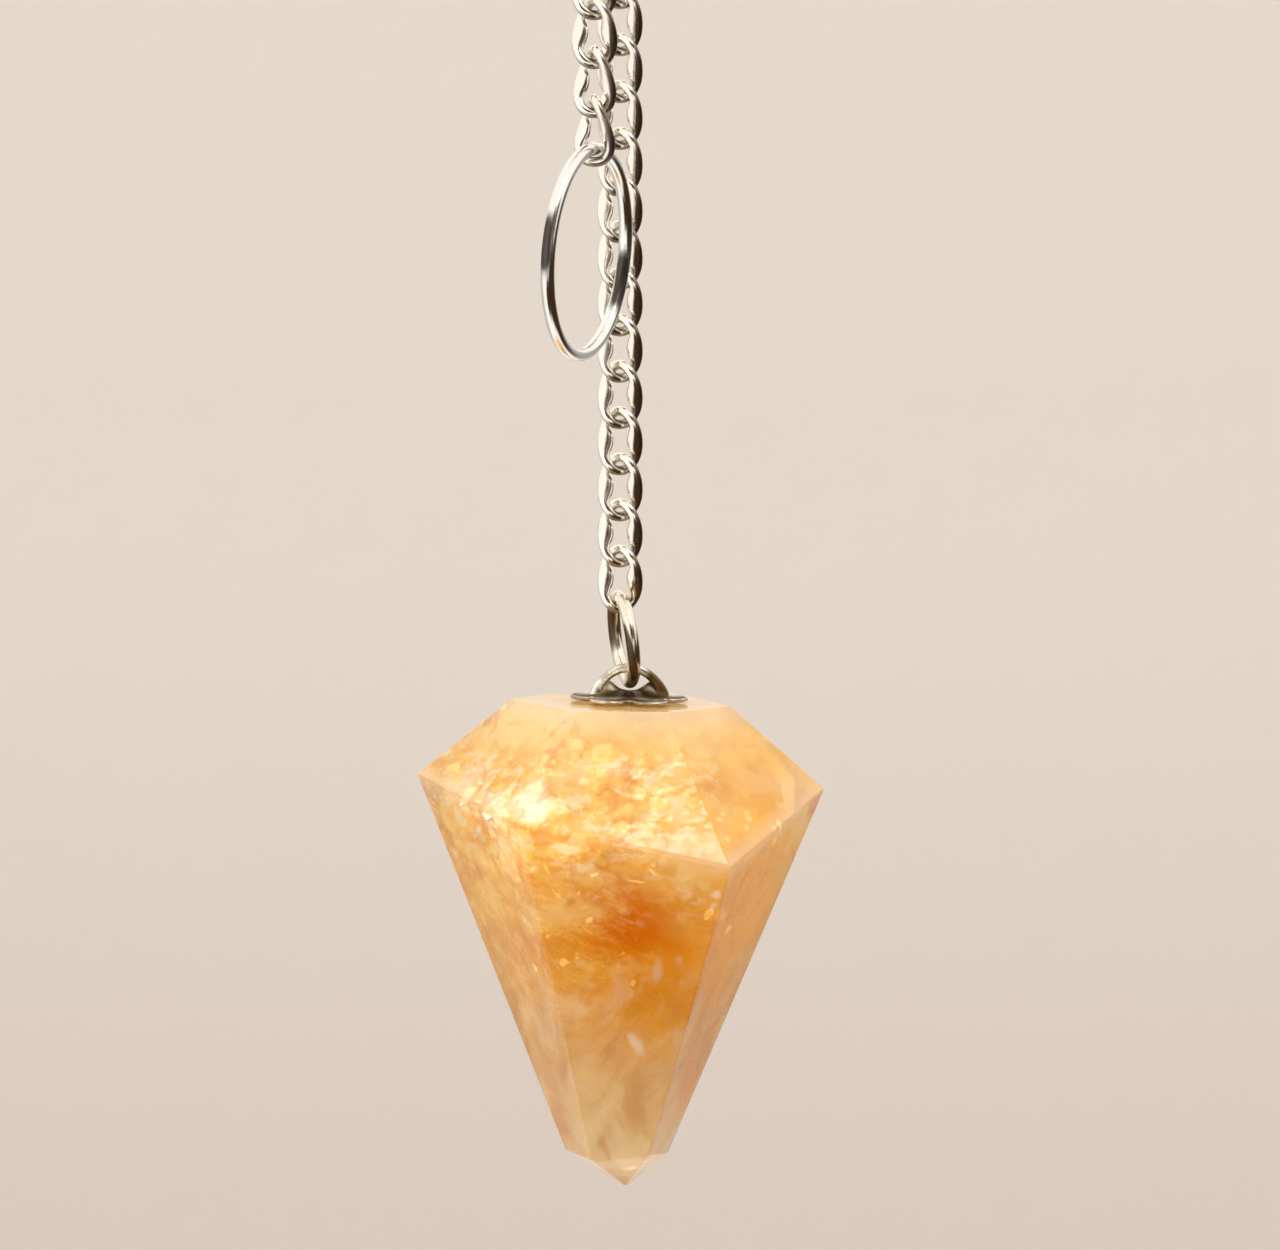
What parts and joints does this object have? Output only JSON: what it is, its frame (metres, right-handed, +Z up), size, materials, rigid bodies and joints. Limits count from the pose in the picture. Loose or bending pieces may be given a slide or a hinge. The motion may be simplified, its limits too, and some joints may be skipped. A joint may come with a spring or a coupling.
{
  "type": "pendulum pendant",
  "caption": "Dowsing pendulum: a six-sided cut golden stone under a glued bail cap, hung by a jump ring from a folded curb chain that ends in a finger ring.",
  "frame": {"origin": "middle of the chain's fold, where a peg or hook passes", "axes": "+X to the viewer's right, +Y away from the viewer, +Z up"},
  "size_m": [0.0245, 0.0276, 0.1308],
  "materials": {
    "chain_silver": "polished, warm silver",
    "ring_silver": "polished silver",
    "cap_silver": "polished silver, soldered",
    "citrine": "polished, golden, with veils and flecks inside"
  },
  "bodies": {
    "chain": {"drop_chain": "chain_silver", "return_chain": "chain_silver"},
    "jump_ring": {"jump_ring": "ring_silver"},
    "pendant": {"bail_cap": "cap_silver", "cut_stone": "citrine"},
    "finger_ring": {"finger_ring": "ring_silver"}
  },
  "joints": [
    {"name": "jump_ring_swing", "type": "hinge", "parent": "chain", "child": "jump_ring", "pos_m": [0.0007, 0.00522, -0.08957], "axis": [0.9792, 0.2028, 0], "range_deg": [-30, 30]},
    {"name": "pendant_swing", "type": "hinge", "parent": "jump_ring", "child": "pendant", "pos_m": [0.00122, 0.00533, -0.09396], "axis": [-0.2028, 0.9792, 0], "range_deg": [-30, 30]},
    {"name": "finger_ring_swing", "type": "hinge", "parent": "chain", "child": "finger_ring", "pos_m": [-0.0007, -0.00522, -0.06307], "axis": [0.9336, -0.3584, 0], "range_deg": [-25, 35]}
  ]
}
